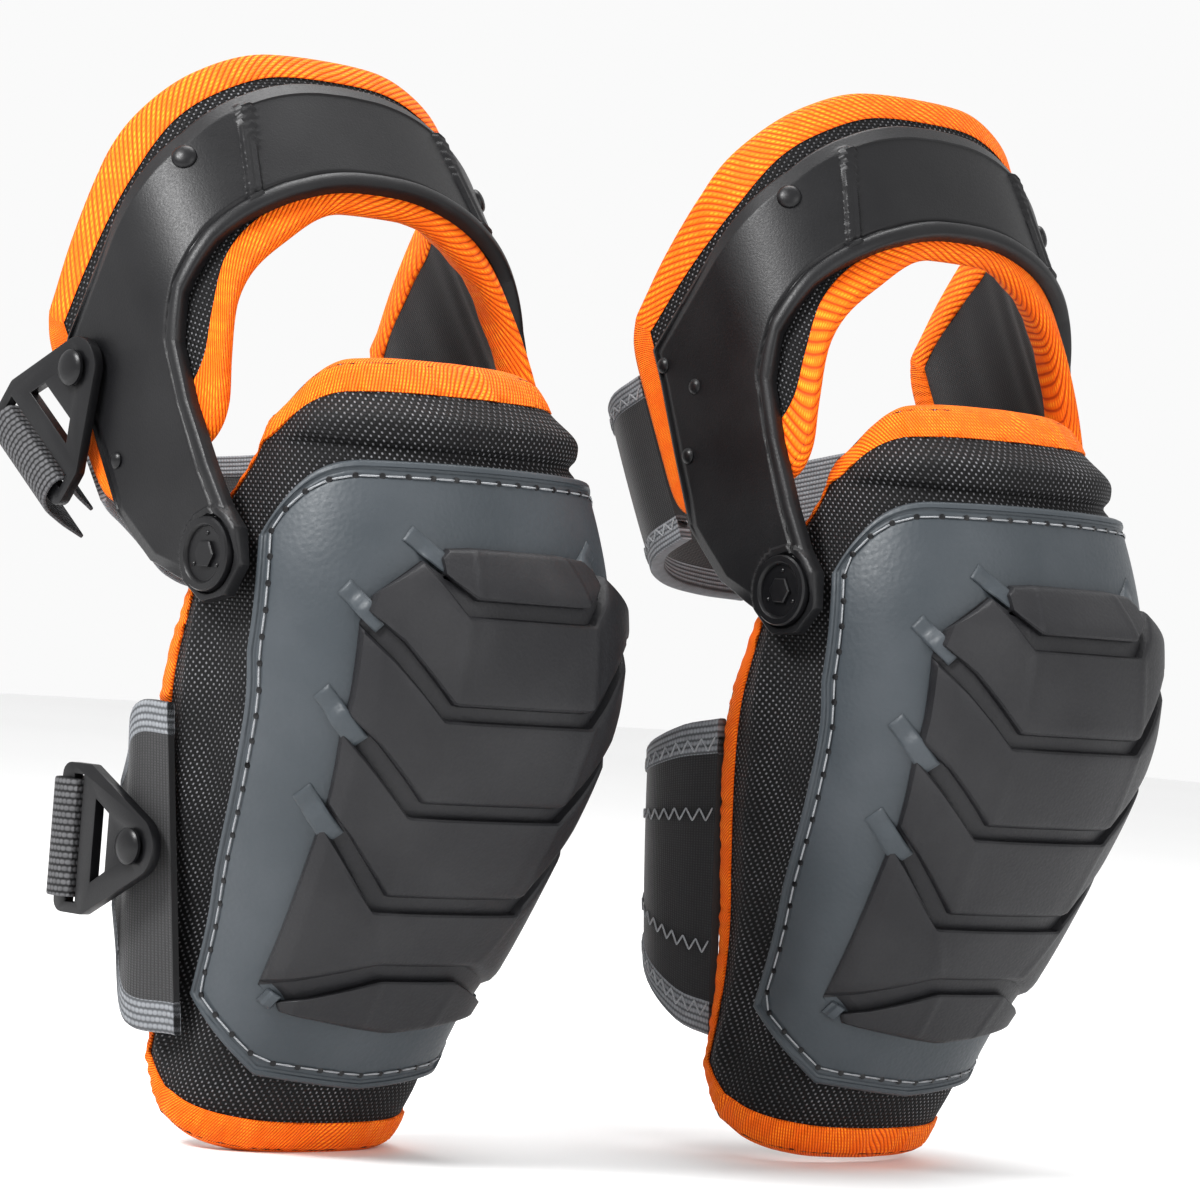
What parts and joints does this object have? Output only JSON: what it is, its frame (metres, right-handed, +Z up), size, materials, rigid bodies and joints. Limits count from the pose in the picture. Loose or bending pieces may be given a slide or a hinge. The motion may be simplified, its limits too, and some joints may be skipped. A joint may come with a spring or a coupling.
{
  "type": "knee pads",
  "caption": "Pair of work knee pads: curved padded shin pad with segmented rubber cap and shield, hinged thigh cuff on a moulded yoke, and wide straps with triangular clip buckles.",
  "frame": {"origin": "middle of the left pad's knee hinge axis, where the left knee sits", "axes": "+X from the left pad to the right pad, along the hinge axes; -Y to the front, the way the caps face; +Z up"},
  "size_m": [0.3528, 0.2516, 0.3541],
  "materials": {
    "ballistic_nylon": "coarse black basket-weave ballistic nylon",
    "foam": "closed-cell foam",
    "gel": "soft translucent gel",
    "liner_fabric": "black knit neoprene lining",
    "orange_tape": "orange twill binding tape",
    "shield_vinyl": "satin grained blue-grey sheet",
    "cap_rubber": "matte charcoal moulded rubber",
    "black_plastic": "satin black nylon",
    "steel": "plain steel",
    "nylon_washer": "natural nylon",
    "neoprene": "black neoprene with a fine knit face",
    "grey_elastic": "light grey ribbed elastic",
    "buckle_plastic": "black moulded acetal",
    "webbing": "black woven webbing",
    "yoke_plastic": "satin black moulded plastic with a fine grain"
  },
  "bodies": {
    "left_pad": {"left_pad_cover": "ballistic_nylon", "left_pad_foam": "foam", "left_gel_insert": "gel", "left_pad_liner": "liner_fabric", "left_pad_binding": "orange_tape", "left_shield": "shield_vinyl", "left_armour_cap": "cap_rubber", "left_hinge_plates": "black_plastic", "left_hinge_pins": "steel", "left_hinge_washers": "nylon_washer", "left_hinge_caps": "black_plastic", "left_calf_strap": "neoprene", "left_calf_strap_edges": "grey_elastic", "left_calf_elastic": "grey_elastic", "left_clip_wing": "neoprene", "left_lower_post": "black_plastic"},
    "left_cuff": {"left_yoke": "yoke_plastic", "left_cuff_cover": "ballistic_nylon", "left_cuff_liner": "neoprene", "left_cuff_binding": "orange_tape", "left_yoke_rivets": "black_plastic", "left_thigh_strap": "neoprene", "left_thigh_strap_edges": "grey_elastic", "left_thigh_elastic": "grey_elastic", "left_upper_post": "black_plastic"},
    "left_lower_clip": {"left_lower_buckle": "buckle_plastic", "left_lower_webbing": "webbing"},
    "left_upper_clip": {"left_upper_buckle": "buckle_plastic", "left_upper_webbing": "webbing"},
    "right_pad": {"right_pad_cover": "ballistic_nylon", "right_pad_foam": "foam", "right_gel_insert": "gel", "right_pad_liner": "liner_fabric", "right_pad_binding": "orange_tape", "right_shield": "shield_vinyl", "right_armour_cap": "cap_rubber", "right_hinge_plates": "black_plastic", "right_hinge_pins": "steel", "right_hinge_washers": "nylon_washer", "right_hinge_caps": "black_plastic", "right_calf_strap": "neoprene", "right_calf_strap_edges": "grey_elastic", "right_calf_elastic": "grey_elastic", "right_clip_wing": "neoprene", "right_lower_post": "black_plastic"},
    "right_cuff": {"right_yoke": "yoke_plastic", "right_cuff_cover": "ballistic_nylon", "right_cuff_liner": "neoprene", "right_cuff_binding": "orange_tape", "right_yoke_rivets": "black_plastic", "right_thigh_strap": "neoprene", "right_thigh_strap_edges": "grey_elastic", "right_thigh_elastic": "grey_elastic", "right_upper_post": "black_plastic"},
    "right_lower_clip": {"right_lower_buckle": "buckle_plastic", "right_lower_webbing": "webbing"},
    "right_upper_clip": {"right_upper_buckle": "buckle_plastic", "right_upper_webbing": "webbing"}
  },
  "joints": [
    {"name": "left_knee_hinge", "type": "hinge", "parent": "left_pad", "child": "left_cuff", "pos_m": [0, 0, 0], "axis": [1, 0, 0], "range_deg": [-28, 36]},
    {"name": "left_lower_clip_swivel", "type": "hinge", "parent": "left_pad", "child": "left_lower_clip", "pos_m": [-0.0644, 0.034, -0.0915], "axis": [1, 0, 0], "range_deg": [-8, 8]},
    {"name": "left_upper_clip_swivel", "type": "hinge", "parent": "left_cuff", "child": "left_upper_clip", "pos_m": [-0.0741, 0.06938, 0.05466], "axis": [1, 0, 0], "range_deg": [-8, 8]},
    {"name": "right_knee_hinge", "type": "hinge", "parent": "right_pad", "child": "right_cuff", "pos_m": [0.189, -0.057, 0.003], "axis": [1, 0, 0], "range_deg": [-37, 27]},
    {"name": "right_lower_clip_swivel", "type": "hinge", "parent": "right_pad", "child": "right_lower_clip", "pos_m": [0.2534, -0.023, -0.0885], "axis": [1, 0, 0], "range_deg": [-8, 8]},
    {"name": "right_upper_clip_swivel", "type": "hinge", "parent": "right_cuff", "child": "right_upper_clip", "pos_m": [0.2631, 0.00297, 0.06784], "axis": [1, 0, 0], "range_deg": [-8, 8]},
    {"name": "right_pad_apart", "type": "slide", "parent": "left_pad", "child": "right_pad", "axis": [1, 0, 0], "range_m": [0, 0.15]}
  ]
}
